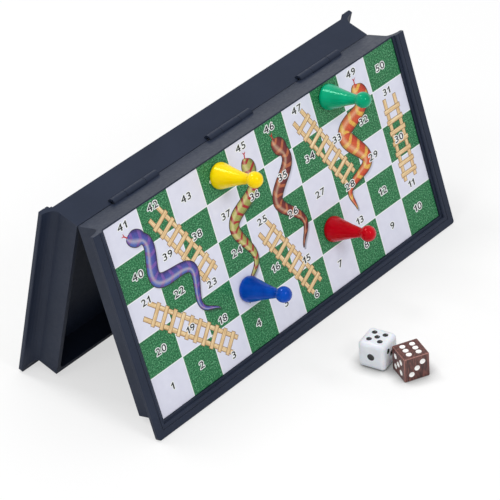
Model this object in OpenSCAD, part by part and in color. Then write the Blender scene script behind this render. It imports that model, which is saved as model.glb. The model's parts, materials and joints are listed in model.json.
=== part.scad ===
// Folding magnetic snakes and ladders set, standing open like a tent.
// Two hollow half cases are hinged along the ridge with their play faces outwards.
// X runs along the ridge, -Y is the side of the front half, Z is up and the table is at zero.

/* [Play field] */
// Width of one square along the hinge
square_w = 18.3; // [16:0.1:22]
// Depth of one square across the hinge
square_d = 17.5; // [16:0.1:22]
// Printed margin past the squares at each end
end_margin = 1.75; // [1:0.05:4]
// Printed margin past the squares at the free edge
free_margin = 1.5; // [1:0.05:4]
// Thickness of the printed play sheet
sheet_t = 0.4; // [0.2:0.05:0.8]
// Thickness of the steel plate under the print
steel_t = 0.5; // [0.3:0.05:0.8]
// How far the steel plate stays inside the edge of the print
steel_inset = 1; // [0.5:0.1:3]
// Gap around the print in its recess
sheet_fit = 0.1; // [0.05:0.05:0.3]

/* [Tray] */
// Height of the print above the tray rim
face_h = 14.5; // [12:0.1:20]
// Thickness of the end walls and the free wall
wall_t = 2; // [1.6:0.1:3]
// Thickness of the wall beside the hinge
hinge_wall_t = 3; // [2.8:0.1:4]
// Thickness of the tray floor under the steel plate
floor_t = 2; // [1.6:0.1:3]
// How far the tray walls stand outside the edge of the print
wall_out = 0.3; // [0:0.1:1]
// Radius of the inner corners of the tray
tray_corner_r = 2.5; // [1:0.1:5]

/* [Frame] */
// Width of the frame around the print
bezel_w = 6.75; // [5.5:0.05:9]
// Height of the frame above the print
bezel_h = 1.8; // [1.4:0.05:2.4]
// Thickness of the outer edge of the frame
edge_t = 2.1; // [1.6:0.05:3]
// Height of the hollow moulding under the frame
cove_h = 3.8; // [2:0.1:5]
// Radius of the two free corners of the frame
corner_r = 2; // [1.5:0.1:6]
// Chamfer along the outer edges of the frame
edge_chamfer = 0.3; // [0.1:0.05:0.6]
// Width of the ledge between the print and the bead
ledge_w = 1.1; // [0.5:0.05:1.6]
// Height of the ledge above the print
ledge_h = 0.6; // [0.3:0.05:1]
// Width of the bead along the inner edge of the frame
bead_w = 1.6; // [1:0.05:2]
// Chamfer on the inner edge of the bead
bead_chamfer = 0.45; // [0.1:0.05:0.7]
// Width of the groove outside the bead
groove_w = 0.4; // [0.3:0.05:0.8]
// Depth of the groove outside the bead
groove_d = 0.3; // [0.2:0.05:0.8]

/* [Hinge] */
// Lean of each half from upright
lean = 15.6; // [10:0.1:25]
// Distance between the middles of neighbouring hinges
hinge_pitch = 59.5; // [45:0.5:65]
// Length of one hinge
hinge_len = 27; // [22:0.5:32]
// Length of each outer knuckle
outer_knuckle_len = 7.5; // [5:0.25:8.5]
// Radius of the knuckles
knuckle_r = 2; // [1.7:0.05:2.3]
// Diameter of the hinge pins
pin_d = 1.8; // [1.2:0.1:2]
// How far each pin stops short of the ends of its hinge
pin_recess = 0.4; // [0.2:0.1:1]
// Running gap around a pin
pin_gap = 0.04; // [0.02:0.01:0.08]
// Gap between neighbouring knuckles
knuckle_end_gap = 0.25; // [0.15:0.05:0.5]
// Gap between a knuckle and the notch it turns in
notch_gap = 0.3; // [0.2:0.05:0.4]
// Distance of every wall and rim from the hinge line
hinge_gap = 0.15; // [0.1:0.05:0.3]
// Lip of the hinge wall beside the print
hinge_lip = 0.75; // [0.5:0.05:1.5]

/* [Pawns] */
// Height of a pawn
pawn_h = 24.6; // [22:0.1:32]
// Diameter of the foot of a pawn
pawn_foot_d = 11.6; // [10:0.1:14]
// Height of the upright edge of the foot
pawn_foot_h = 1.6; // [1:0.1:2.5]
// Diameter of the neck of a pawn
pawn_neck_d = 4; // [3:0.1:5]
// Diameter of the head of a pawn
pawn_head_d = 7.2; // [6:0.1:9]
// Rounding of the lower edge of the foot
pawn_foot_round = 0.5; // [0.2:0.1:0.9]
// How strongly the flank of a pawn curves in
pawn_flare = 1.25; // [1:0.05:1.8]
// Diameter of the magnet in the foot
magnet_d = 7; // [5:0.1:8]
// Thickness of the magnet in the foot
magnet_t = 1.5; // [1:0.1:2.5]
// How far the magnet sits above the lower face of the foot
magnet_rise = 0.2; // [0.1:0.05:0.5]
// Gap around a magnet in its socket
magnet_fit = 0.05; // [0.03:0.01:0.1]

/* [Dice] */
// Edge length of the moulded white die
white_die_size = 13; // [12:0.5:16]
// Edge length of the sawn wooden die
brown_die_size = 12; // [11.5:0.5:16]
// Edge rounding of the white die
white_die_round = 2.1; // [1:0.1:2.2]
// Edge rounding of the wooden die
brown_die_round = 0.6; // [0.3:0.1:1.2]
// Diameter of a pip on the white die
white_pip_d = 2.5; // [1.8:0.1:2.7]
// Diameter of the single pip on the white die
white_ace_d = 3.4; // [2.5:0.1:4]
// Diameter of a pip on the wooden die
brown_pip_d = 2.6; // [1.8:0.1:2.7]
// Depth of a pip
pip_depth = 0.45; // [0.2:0.05:0.7]
// Distance of the outer pips from the middle of a face
pip_step = 2.6; // [2.2:0.1:3]
// Distance of the two rows of a six from the middle of the face
six_row_out = 2.3; // [2:0.1:3]
// Distance between neighbours in a row of a six
six_pitch = 3.1; // [2.9:0.1:3.3]

/* [Hidden] */

// Rules of the game: ten squares along the hinge and five rows on each half
squares_along = 10;
rows_per_half = 5;

// Overlap of a cut past the face that it opens
cut = 1;
// Steps along each round moulding and flank
cove_steps = 6;
flank_steps = 10;
round_fn = 64;

// The half case is drawn lying on its rim: x along the hinge, y away from it, z out through the print
field_x = squares_along * square_w;
field_y = rows_per_half * square_d;
print_x = field_x / 2 + end_margin;
print_y0 = hinge_gap + hinge_lip;
print_y1 = print_y0 + field_y + free_margin;
recess_x = print_x + sheet_fit;
recess_y0 = print_y0 - sheet_fit;
recess_y1 = print_y1 + sheet_fit;
bed_z = face_h - sheet_t - steel_t;
ceiling_z = bed_z - floor_t;
ledge_z = face_h + ledge_h;
top_z = face_h + bezel_h;
edge_z = top_z - edge_t;
cove_z = edge_z - cove_h;
tray_x = print_x + wall_out;
tray_y = print_y1 + wall_out;
frame_x = print_x + bezel_w;
frame_y = print_y1 + bezel_w;

// The lowest line of a leaning half is the lower corner of the frame's free edge
ridge_h = frame_y * cos(lean) - (edge_z + edge_chamfer) * sin(lean);

hinge_places = [-hinge_pitch, 0, hinge_pitch];
half_len = hinge_len / 2;
outer_inner_end = half_len - outer_knuckle_len;
middle_half_len = outer_inner_end - knuckle_end_gap;
pin_len = hinge_len - 2 * pin_recess;

// Where the pawns stand, in squares from the corner of square one
yellow_spot = [3.61, 4.5];
green_spot = [7.54, 4.63];
red_spot = [6.54, 1.46];
blue_spot = [3.47, 1.47];

head_z = pawn_h - pawn_head_d / 2;
neck_z = head_z - sqrt(pow(pawn_head_d / 2, 2) - pow(pawn_neck_d / 2, 2));
socket_h = magnet_rise + magnet_t;

// Where the dice lie on the table, and how they are turned
white_die_at = [-2, -79.4];
white_die_turn = 11.5;
brown_die_at = [0.6, -95.4];
brown_die_turn = -25.2;

// Places of one to six pips on a face: corners of a square, its middle, or two rows of three
pip_corners = [for (x = [-1, 1], y = [-1, 1]) pip_step * [x, y]];
pip_diagonal = [pip_corners[0], pip_corners[3]];
pip_rows = [for (x = [-1, 1], y = [-1, 0, 1]) [x * six_row_out, y * six_pitch]];
pip_patterns = [
    [[0, 0]],
    pip_diagonal,
    concat(pip_diagonal, [[0, 0]]),
    pip_corners,
    concat(pip_corners, [[0, 0]]),
    pip_rows
];
// Pips on the faces of a die in the order right, left, back, front, top, below
white_die_faces = [6, 1, 4, 3, 5, 2];
brown_die_faces = [2, 5, 4, 3, 6, 1];
// How far the pattern on each of those faces is turned in its own plane
white_die_spins = [0, 0, 0, 90, 0, 0];
brown_die_spins = [0, 0, 0, 0, 0, 0];
// The turns that bring the top face to each of those sides
face_turns = [[0, 90, 0], [0, -90, 0], [-90, 0, 0], [90, 0, 0], [0, 0, 0], [180, 0, 0]];

// Quarter of a hollow moulding from a wall foot out to an overhanging edge
function cove(wall, edge) = [
    for (i = [0:cove_steps])
        let (a = 90 * i / cove_steps)
        [wall + (edge - wall) * (1 - cos(a)), cove_z + cove_h * sin(a)]
];

// Outer side of a wall with the frame that overhangs it, from the rim up
function wall_outline(wall, edge) = concat(
    [[wall, hinge_gap]],
    cove(wall, edge - edge_chamfer),
    [[edge, edge_z + edge_chamfer], [edge, top_z - edge_chamfer], [edge - edge_chamfer, top_z]]
);

// Steps from the bed of the steel plate up to the top of the bead
function bezel_outline(recess) = [
    [recess, bed_z],
    [recess, ledge_z],
    [recess + ledge_w, ledge_z],
    [recess + ledge_w, top_z - bead_chamfer],
    [recess + ledge_w + bead_chamfer, top_z],
    [recess + ledge_w + bead_chamfer, top_z + cut]
];

function mirrored(points) = [
    for (i = [len(points) - 1:-1:0])
        [-points[i][0], points[i][1]]
];

// Leaves a shape drawn in y and z standing along the hinge
module along_hinge(length) {
    translate([-length / 2, 0, 0])
        rotate([90, 0, 90])
            linear_extrude(length)
                children();
}

// Leaves a shape drawn in x and z running away from the hinge
module across_hinge(from, to) {
    translate([0, to, 0])
        rotate([90, 0, 0])
            linear_extrude(to - from)
                children();
}

module barrel(from, to, radius) {
    translate([from, 0, 0])
        rotate([0, 90, 0])
            cylinder(r = radius, h = to - from, $fn = round_fn);
}

module in_back_half() {
    translate([0, 0, ridge_h])
        rotate([lean - 90, 0, 0])
            children();
}

module in_front_half() {
    rotate([0, 0, 180])
        in_back_half()
            children();
}

module frame_plan() {
    translate([-frame_x, hinge_gap])
        square([2 * frame_x, frame_y - hinge_gap - corner_r]);
    translate([-frame_x + corner_r, hinge_gap])
        square([2 * (frame_x - corner_r), frame_y - hinge_gap]);
    for (side = [-1, 1])
        translate([side * (frame_x - corner_r), frame_y - corner_r])
            circle(r = corner_r, $fn = round_fn);
}

module case_block() {
    end_side = wall_outline(tray_x, frame_x);
    free_side = wall_outline(tray_y, frame_y);
    intersection() {
        across_hinge(hinge_gap, frame_y)
            polygon(concat(end_side, mirrored(end_side)));
        along_hinge(2 * frame_x)
            polygon(concat([[hinge_gap, hinge_gap]], free_side, [[hinge_gap, top_z]]));
        translate([0, 0, hinge_gap])
            linear_extrude(top_z - hinge_gap)
                frame_plan();
    }
}

// Stepped recess for the steel plate and the print, open above the hinge wall
module print_recess() {
    end_steps = bezel_outline(recess_x);
    free_steps = bezel_outline(recess_y1);
    intersection() {
        across_hinge(-cut, frame_y)
            polygon(concat(end_steps, mirrored(end_steps)));
        along_hinge(2 * frame_x)
            polygon(concat(
                [[recess_y0, bed_z]],
                free_steps,
                [[-cut, top_z + cut], [-cut, face_h], [recess_y0, face_h]]
            ));
    }
}

module bead_groove() {
    inner_x = recess_x + ledge_w + bead_w;
    inner_y = recess_y1 + ledge_w + bead_w;
    translate([0, 0, top_z - groove_d])
        linear_extrude(groove_d + cut)
            difference() {
                translate([-inner_x - groove_w, 0])
                    square([2 * (inner_x + groove_w), inner_y + groove_w]);
                translate([-inner_x, -cut])
                    square([2 * inner_x, inner_y + cut]);
            }
}

module tray_hollow() {
    half_x = tray_x - wall_t;
    y0 = hinge_gap + hinge_wall_t;
    y1 = tray_y - wall_t;
    translate([0, 0, hinge_gap - cut])
        linear_extrude(ceiling_z - hinge_gap + cut) {
            translate([-half_x + tray_corner_r, y0])
                square([2 * (half_x - tray_corner_r), y1 - y0]);
            translate([-half_x, y0 + tray_corner_r])
                square([2 * half_x, y1 - y0 - 2 * tray_corner_r]);
            for (side = [-1, 1], y = [y0 + tray_corner_r, y1 - tray_corner_r])
                translate([side * (half_x - tray_corner_r), y])
                    circle(r = tray_corner_r, $fn = round_fn);
        }
}

// One moulded half: own knuckles are added and the other half's knuckles get notches to turn in
module half_shell(own, other) {
    difference() {
        union() {
            difference() {
                case_block();
                print_recess();
                bead_groove();
                tray_hollow();
            }
            for (place = hinge_places, span = own)
                barrel(place + span[0], place + span[1], knuckle_r);
        }
        for (place = hinge_places, span = other)
            barrel(
                place + span[0] - knuckle_end_gap,
                place + span[1] + knuckle_end_gap,
                knuckle_r + notch_gap
            );
        for (place = hinge_places)
            barrel(
                place - half_len - knuckle_end_gap,
                place + half_len + knuckle_end_gap,
                pin_d / 2 + pin_gap
            );
    }
}

outer_spans = [[-half_len, -outer_inner_end], [outer_inner_end, half_len]];
middle_spans = [[-middle_half_len, middle_half_len]];

module front_shell() {
    color([0.19, 0.22, 0.27])
        in_front_half()
            half_shell(outer_spans, middle_spans);
}

module back_shell() {
    color([0.19, 0.22, 0.27])
        in_back_half()
            half_shell(middle_spans, outer_spans);
}

module steel_plate() {
    translate([-print_x + steel_inset, print_y0 + steel_inset, bed_z])
        cube([2 * (print_x - steel_inset), print_y1 - print_y0 - 2 * steel_inset, steel_t]);
}

module front_steel_plate() {
    color("silver")
        in_front_half()
            steel_plate();
}

module back_steel_plate() {
    color("silver")
        in_back_half()
            steel_plate();
}

module play_sheet() {
    translate([-print_x, print_y0, bed_z + steel_t])
        cube([2 * print_x, print_y1 - print_y0, sheet_t]);
}

module front_play_sheet() {
    color("seagreen")
        in_front_half()
            play_sheet();
}

module back_play_sheet() {
    color("seagreen")
        in_back_half()
            play_sheet();
}

module hinge_pin(place) {
    color("gainsboro")
        in_front_half()
            barrel(-place - pin_len / 2, -place + pin_len / 2, pin_d / 2);
}

module hinge_pin_left() {
    hinge_pin(hinge_places[0]);
}

module hinge_pin_middle() {
    hinge_pin(hinge_places[1]);
}

module hinge_pin_right() {
    hinge_pin(hinge_places[2]);
}

// Stands a piece on the front print at a spot counted in squares
module on_front_print(spot) {
    in_front_half()
        translate([
            field_x / 2 - spot[0] * square_w,
            print_y0 + field_y - spot[1] * square_d,
            face_h
        ])
            children();
}

// Cone with a hollow flank that carries a ball head, with a magnet socket in its foot
module pawn() {
    foot_r = pawn_foot_d / 2;
    neck_r = pawn_neck_d / 2;
    flank = [
        for (i = [0:flank_steps])
            let (t = i / flank_steps)
            [
                neck_r + (foot_r - neck_r) * pow(1 - t, pawn_flare),
                pawn_foot_h + (neck_z - pawn_foot_h) * t
            ]
    ];
    difference() {
        union() {
            rotate_extrude($fn = round_fn)
                polygon(concat(
                    [[0, 0], [foot_r - pawn_foot_round, 0], [foot_r, pawn_foot_round]],
                    flank,
                    [[neck_r, head_z], [0, head_z]]
                ));
            translate([0, 0, head_z])
                sphere(d = pawn_head_d, $fn = round_fn);
        }
        translate([0, 0, -cut])
            cylinder(d = magnet_d + 2 * magnet_fit, h = socket_h + cut, $fn = round_fn);
    }
}

module pawn_magnet() {
    translate([0, 0, magnet_rise])
        cylinder(d = magnet_d, h = magnet_t, $fn = round_fn);
}

module yellow_pawn() {
    color([0.99, 0.87, 0])
        on_front_print(yellow_spot)
            pawn();
}

module green_pawn() {
    color([0, 0.57, 0.33])
        on_front_print(green_spot)
            pawn();
}

module red_pawn() {
    color([0.8, 0.02, 0.1])
        on_front_print(red_spot)
            pawn();
}

module blue_pawn() {
    color([0, 0.25, 0.68])
        on_front_print(blue_spot)
            pawn();
}

module yellow_pawn_magnet() {
    color("dimgray")
        on_front_print(yellow_spot)
            pawn_magnet();
}

module green_pawn_magnet() {
    color("dimgray")
        on_front_print(green_spot)
            pawn_magnet();
}

module red_pawn_magnet() {
    color("dimgray")
        on_front_print(red_spot)
            pawn_magnet();
}

module blue_pawn_magnet() {
    color("dimgray")
        on_front_print(blue_spot)
            pawn_magnet();
}

// Cube with round edges and corners, centred on the origin
module soft_cube(size, round_r) {
    core = size / 2 - round_r;
    cube([size, 2 * core, 2 * core], center = true);
    cube([2 * core, size, 2 * core], center = true);
    cube([2 * core, 2 * core, size], center = true);
    for (turn = [[0, 0, 0], [90, 0, 0], [0, 90, 0]], a = [-1, 1], b = [-1, 1])
        rotate(turn)
            translate([a * core, b * core, -core])
                cylinder(r = round_r, h = 2 * core, $fn = round_fn);
    for (x = [-1, 1], y = [-1, 1], z = [-1, 1])
        translate(core * [x, y, z])
            sphere(r = round_r, $fn = round_fn);
}

// Ball that leaves a round hollow of a given width in the face below the origin
module pip_ball(width) {
    radius = (pow(width / 2, 2) + pow(pip_depth, 2)) / (2 * pip_depth);
    translate([0, 0, radius - pip_depth])
        sphere(r = radius, $fn = round_fn);
}

// Die standing on the table with a round hollow for each pip, and a single pip of its own width
module die(size, round_r, faces, spins, pip_d, ace_d) {
    translate([0, 0, size / 2])
        difference() {
            soft_cube(size, round_r);
            for (side = [0:len(faces) - 1], pip = pip_patterns[faces[side] - 1])
                rotate(face_turns[side])
                    rotate(spins[side])
                        translate([pip[0], pip[1], size / 2])
                            pip_ball(faces[side] == 1 ? ace_d : pip_d);
        }
}

module white_die() {
    color("whitesmoke")
        translate(white_die_at)
            rotate(white_die_turn)
                die(
                    white_die_size, white_die_round, white_die_faces, white_die_spins,
                    white_pip_d, white_ace_d
                );
}

module brown_die() {
    color([0.36, 0.2, 0.16])
        translate(brown_die_at)
            rotate(brown_die_turn)
                die(
                    brown_die_size, brown_die_round, brown_die_faces, brown_die_spins,
                    brown_pip_d, brown_pip_d
                );
}

front_shell();
back_shell();
front_steel_plate();
back_steel_plate();
front_play_sheet();
back_play_sheet();
hinge_pin_left();
hinge_pin_middle();
hinge_pin_right();
yellow_pawn();
green_pawn();
red_pawn();
blue_pawn();
yellow_pawn_magnet();
green_pawn_magnet();
red_pawn_magnet();
blue_pawn_magnet();
white_die();
brown_die();
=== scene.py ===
"""Looks of a folding magnetic snakes and ladders set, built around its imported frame."""
import json
import math
from collections import namedtuple

import bmesh
import bpy
import numpy as np
from mathutils import Matrix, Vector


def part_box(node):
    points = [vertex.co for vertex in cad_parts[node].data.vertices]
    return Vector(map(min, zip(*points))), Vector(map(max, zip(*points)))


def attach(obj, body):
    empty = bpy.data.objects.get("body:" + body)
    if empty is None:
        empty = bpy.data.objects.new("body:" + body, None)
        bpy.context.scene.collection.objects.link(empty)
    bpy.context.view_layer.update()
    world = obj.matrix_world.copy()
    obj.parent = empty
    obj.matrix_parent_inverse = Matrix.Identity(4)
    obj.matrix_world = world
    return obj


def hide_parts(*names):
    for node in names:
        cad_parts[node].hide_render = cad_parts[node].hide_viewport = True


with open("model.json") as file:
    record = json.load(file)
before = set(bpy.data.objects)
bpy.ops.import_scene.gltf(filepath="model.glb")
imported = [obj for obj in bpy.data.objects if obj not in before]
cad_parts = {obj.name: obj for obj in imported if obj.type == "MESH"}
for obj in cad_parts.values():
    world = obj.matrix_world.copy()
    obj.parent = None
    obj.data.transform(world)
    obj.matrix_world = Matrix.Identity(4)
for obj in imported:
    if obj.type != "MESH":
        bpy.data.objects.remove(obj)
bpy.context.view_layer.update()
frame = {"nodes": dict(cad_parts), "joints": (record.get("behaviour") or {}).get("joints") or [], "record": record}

MM = 0.001

# Squares of the print
SQUARES_ALONG = 10
ROWS_PER_HALF = 5
SQUARE_W = 18.3 * MM
SQUARE_D = 17.5 * MM
LINE_W = 0.4 * MM

# The top of each print lies this far under the face that the pawns stand on
PRINT_SINK = 0.15 * MM
PRINT_EDGE = 0.1 * MM
# Inks lie in that step, each from a root that is sunk in the print to its own height over it
INK_ROOT = -0.05 * MM
SHADOW_TOP = 0.005 * MM
RAIL_EDGE_TOP = 0.012 * MM
RAIL_TOP = 0.022 * MM
RUNG_EDGE_TOP = 0.032 * MM
RUNG_TOP = 0.042 * MM
SNAKE_EDGE_TOP = 0.055 * MM
SNAKE_TOP = 0.068 * MM
TONGUE_TOP = 0.08 * MM
HALO_TOP = 0.095 * MM
DIGIT_TOP = 0.115 * MM

# Numbers in the squares
DIGIT_H = 3.2 * MM
DIGIT_W = 2.6 * MM
DIGIT_GAP = 0.78 * MM
DIGIT_BOLD = 0.012
DIGIT_CURVE_STEPS = 5
MERGE_DISTANCE = 1e-5
# The outline of a halo is found on a square grid, and one in HALO_THIN of its points is kept
HALO_W = 0.38 * MM
HALO_GRID = 48
HALO_THIN = 4
LEAST_SIDE = 1e-6 * MM
# Where a number stands in its square, in shares of it: low or high where a ladder or snake ends
NUMBER_U = 0.47
NUMBER_V = 0.51
NUMBER_LOW = 0.2
NUMBER_HIGH = 0.82
# The one and the four are drawn with straight lines, in shares of the height of a nought: outlines
# run counter-clockwise and the hole of the four clockwise
WRITTEN_FIGURES = "02356789"
DRAWN_FIGURES = {
    "1": [
        [
            (0.28, 0), (0.47, 0), (0.47, 1), (0.34, 1),
            (0.25, 0.86), (0.06, 0.76), (0.06, 0.6), (0.28, 0.71),
        ],
    ],
    "4": [
        [
            (0.6, 1), (0.49, 1), (0, 0.41), (0, 0.29), (0.42, 0.29), (0.42, 0),
            (0.6, 0), (0.6, 0.29), (0.7, 0.29), (0.7, 0.45), (0.6, 0.45),
        ],
        [(0.42, 0.69), (0.42, 0.45), (0.22, 0.45)],
    ],
}

# Ladders
RAIL_STEP = 6.8 * MM
RAIL_W = 1.8 * MM
RUNG_W = 1.9 * MM
RUNG_STEP = 5.2 * MM
FIRST_RUNG = 0.6 * RUNG_STEP
LAST_RUNG_GAP = 0.3 * RUNG_STEP
RUNG_PAST = 0.8 * MM
LADDER_OVERHANG = 2.6 * MM
LADDER_EDGE_W = 0.22 * MM
# The wood's streaks follow the place along and across a bar and its tone, each times its own factor
STREAK_ALONG = 90.0
STREAK_ACROSS = 0.9
STREAK_BY_TONE = 40.0
# The most that a bar's tone changes its colour
TONE_SHARE = 0.22

# Snakes
SNAKE_STEPS = 220
SNAKE_ACROSS = 9
# Head and thinnest neck in half widths of the body
HEAD_LEN = 3.4
HEAD_HALF = 1.22
NECK_THIN = 0.62
# Lengths of neck and tail in shares of the whole length
NECK_LEN = 0.22
TAIL_LEN = 0.55
TAIL_TIP = 0.06 * MM
# Powers that shape the head, the tail and the sway
HEAD_BLUNT = 0.55
TAIL_BLUNT = 0.75
SWAY_HOLD = 0.6
SNAKE_EDGE_W = 0.3 * MM
SHADOW_SHIFT = np.array([0.5, -1.1]) * MM
SHADOW_W = 0.7 * MM
TONGUE_ROOT = 0.5 * MM
TONGUE_LEN = 1.6 * MM
TONGUE_HALF = 0.26 * MM
FORK_LEN = 1.1 * MM
FORK_OUT = 0.8 * MM
FORK_HALVES = np.array([0.24, 0.2, 0.08]) * MM
# The first steps of a snake's path, which give the way that its tongue points
AIM_STEPS = 3

# Pawns
PAWN_H = 24.6 * MM
PAWN_FOOT_R = 5.8 * MM
PAWN_FOOT_H = 1.6 * MM
PAWN_NECK_R = 2.0 * MM
PAWN_HEAD_R = 3.6 * MM
PAWN_FLARE = 1.25
PAWN_SHOULDER_IN = 0.8 * MM
PAWN_SHOULDER_UP = 2.3 * MM
FOOT_ROUNDS = np.array([0.05, 0.15, 0.5, 0.55]) * MM
# Shares of the height from the top of the foot to the neck
FLANK_SHARES = np.linspace(0.05, 0.985, 40)
# The ball starts at this many times the neck's angle on it
BALL_START = 1.06
BALL_STEPS = 34
SOCKET_R = 3.55 * MM
SOCKET_H = 1.7 * MM
# Parting ridge: its rise, the sine of its half angle and the least radius that it runs to
SEAM_RISE = 0.03 * MM
SEAM_HALF = 0.05
SEAM_LEAST_R = 0.4 * MM
PAWN_SMOOTH = math.radians(32)

# Dice: faces counts the pips on the right, left, back, front, top and lower face, spins turns each pattern
Die = namedtuple("Die", "node size turn faces spins pip_r ace_r")
QUARTER = math.pi / 2
WHITE_DIE = Die(
    node="white_die",
    size=13 * MM,
    turn=math.radians(11.5),
    faces=(6, 1, 4, 3, 5, 2),
    spins=(0, 0, 0, QUARTER, 0, 0),
    pip_r=1.25 * MM,
    ace_r=1.7 * MM,
)
BROWN_DIE = Die(
    node="brown_die",
    size=12 * MM,
    turn=math.radians(-25.2),
    faces=(2, 5, 4, 3, 6, 1),
    spins=(0, 0, 0, 0, 0, 0),
    pip_r=1.3 * MM,
    ace_r=1.3 * MM,
)
PIP_DEPTH = 0.45 * MM
PIP_STEP = 2.6 * MM
SIX_ROW_OUT = 2.3 * MM
SIX_PITCH = 3.1 * MM
PAINT_RISE = 0.04 * MM
PAINT_DEPTH = 0.08 * MM
PAINT_INSET = 0.02 * MM
# The innermost ring of a dish of paint, in shares of its radius
PAINT_MIDDLE = 0.04
PIP_SMOOTH = math.radians(40)

# Camera of the photograph: place, heading from +Y towards +X, dip below level and roll
CAMERA_AT = (-0.74639, -0.71850, 0.74011)
CAMERA_HEADING = math.radians(46.36)
CAMERA_DIP = math.radians(34.65)
CAMERA_ROLL = math.radians(-4.41)
# Lens and sensor in millimetres
CAMERA_LENS = 205.946
CAMERA_SENSOR = 36.0
# The nearest and farthest that it sees
CAMERA_NEAR = 0.05
CAMERA_FAR = 50.0

# Table
TABLE_HALF = 4.0
# Its grey level in bounced light and where it is seen
TABLE_BOUNCED = 0.8
TABLE_SEEN = 0.95
# The share that glows near the set, in a mirror and straight to the eye, and where it grows to the whole
MIRROR_GLOW = 0.2
EYE_GLOW = 0.6
GLOW_GROWS = (0.25, 0.8)

# Shade under the dice: how far off what hides the sky may be, and where the shade fades round their middle
SHADE_REACH = 6 * MM
SHADE_FADES = (22 * MM, 34 * MM)

# Lights
ROOM_LIGHT = 0.63
Lamp = namedtuple("Lamp", "name at size watts")
LAMPS = (
    Lamp("key_light", (-0.10, -0.95, 0.85), 0.34, 3.85),
    Lamp("top_light", (-0.78, -0.04, 0.98), 0.28, 1.35),
    Lamp("back_light", (-0.15, 0.55, 1.12), 0.3, 4.4),
    Lamp("rim_light", (0.70, 0.92, 0.36), 0.4, 0.5),
)
LAMPS_AIM = (0.0, -0.02, 0.05)

# Draws the tones of the ladders' bars
rng = np.random.default_rng(7)


def box_middle(name):
    """The middle of a CAD node's box."""
    return np.mean(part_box(name), axis=0)


def node_points(name):
    """The vertices of a CAD node as an array of rows x, y, z."""
    vertices = frame["nodes"][name].data.vertices
    flat = np.empty(len(vertices) * 3, np.float32)
    vertices.foreach_get("co", flat)
    return flat.reshape(-1, 3).astype(float)


# Each half has a print. up is the way its numbers stand, away runs from the hinge to the free edge.
Half = namedtuple("Half", "name body up away out first_row")
RIDGE = np.array(next(j for j in frame["joints"] if j["name"] == "fold")["pos_m"])
ALONG = np.array([1.0, 0.0, 0.0])
FACING = {mount["name"]: np.array(mount["axis"]) for mount in frame["record"]["mounts"]}


def half_frame(name, first_row, away_by_up):
    """The directions of a half from the way out of its play face, with away given as up or its opposite."""
    out = FACING[f"{name}_play_face"]
    up = np.cross(out, ALONG)
    return Half(name, f"{name}_half", up, away_by_up * up, out, first_row)


FRONT = half_frame("front", first_row=0, away_by_up=-1)
BACK = half_frame("back", first_row=ROWS_PER_HALF, away_by_up=1)
HALVES = (FRONT, BACK)

sheet_points = node_points("front_play_sheet") - RIDGE
PRINT_HALF = sheet_points[:, 0].max()
PRINT_NEAR = (sheet_points @ FRONT.away).min()
PRINT_FAR = (sheet_points @ FRONT.away).max()
PRINT_FACE = (sheet_points @ FRONT.out).max()
PRINT_BACK = (sheet_points @ FRONT.out).min()
PRINT_TOP = PRINT_FACE - PRINT_SINK


def on_half(half, points):
    """Rows (right, up, out) measured from the hinge line, as points of the shared frame."""
    points = np.asarray(points, float).reshape(-1, 3)
    return RIDGE + points[:, :1] * ALONG + points[:, 1:2] * half.up + points[:, 2:] * half.out


def up_at(half, rows):
    """Height along up of a place counted in rows from the edge below square one."""
    from_hinge = PRINT_NEAR + np.abs(np.asarray(rows, float) - ROWS_PER_HALF) * SQUARE_D
    return from_hinge * np.sign(half.away @ half.up)


def cell_values(half, right, up):
    """Column and row of places on a print, and the row counted from the half's own first one."""
    rows_past_hinge = (np.abs(up) - PRINT_NEAR) / SQUARE_D * np.sign(half.away @ half.up)
    row = ROWS_PER_HALF + rows_past_hinge
    return {"column": right / SQUARE_W + SQUARES_ALONG / 2, "row": row, "half_row": row - half.first_row}


def square_place(number, u=0.5, v=0.5):
    """Right and up of a spot in a square, where the count runs to and fro from the lower left corner."""
    row, step = divmod(number - 1, SQUARES_ALONG)
    column = step if row % 2 == 0 else SQUARES_ALONG - 1 - step
    half = HALVES[row // ROWS_PER_HALF]
    return np.array([(column + u - SQUARES_ALONG / 2) * SQUARE_W, up_at(half, row + v)])


# Surfaces: points as rows, faces as lists of rows, and named values for every point
Surface = namedtuple("Surface", "points faces values")


def unit(vectors):
    """Vectors divided by their lengths."""
    return vectors / np.linalg.norm(vectors, axis=-1, keepdims=True)


def left_of(ways):
    """Flat directions turned a quarter to the left."""
    return np.stack([-ways[..., 1], ways[..., 0]], -1)


def travelled_along(path):
    """The distance from the start of a path to each of its points, in straight steps."""
    steps = np.linalg.norm(np.diff(path, axis=0), axis=1)
    return np.concatenate([[0], np.cumsum(steps)])


def turned_rings(radius, height, angle):
    """Points of rings about an upright axis: radius times the angle's cosine and sine, and the height."""
    circle = np.stack([radius * np.cos(angle), radius * np.sin(angle)], -1)
    level = np.broadcast_to(height[..., None], circle.shape[:2] + (1,))
    return np.concatenate([circle, level], -1).reshape(-1, 3)


def grid_faces(rows, columns):
    """Quads between the points of a grid, closed round its columns."""
    i, j = np.meshgrid(np.arange(rows - 1) * columns, np.arange(columns), indexing="ij")
    k = (j + 1) % columns
    quads = np.stack([i + j, i + k, i + columns + k, i + columns + j], -1)
    return quads.reshape(-1, 4).tolist()


def join(surfaces):
    """Several surfaces as one, with the faces counted on."""
    starts = np.cumsum([0] + [len(s.points) for s in surfaces])
    faces = [[corner + start for corner in face] for s, start in zip(surfaces, starts) for face in s.faces]
    keys = surfaces[0].values.keys()
    values = {key: np.concatenate([s.values[key] for s in surfaces]) for key in keys}
    return Surface(np.concatenate([s.points for s in surfaces]), faces, values)


def new_object(name, data):
    """A new object in the scene, at the origin."""
    made = bpy.data.objects.new(name, data)
    bpy.context.scene.collection.objects.link(made)
    return made


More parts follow.
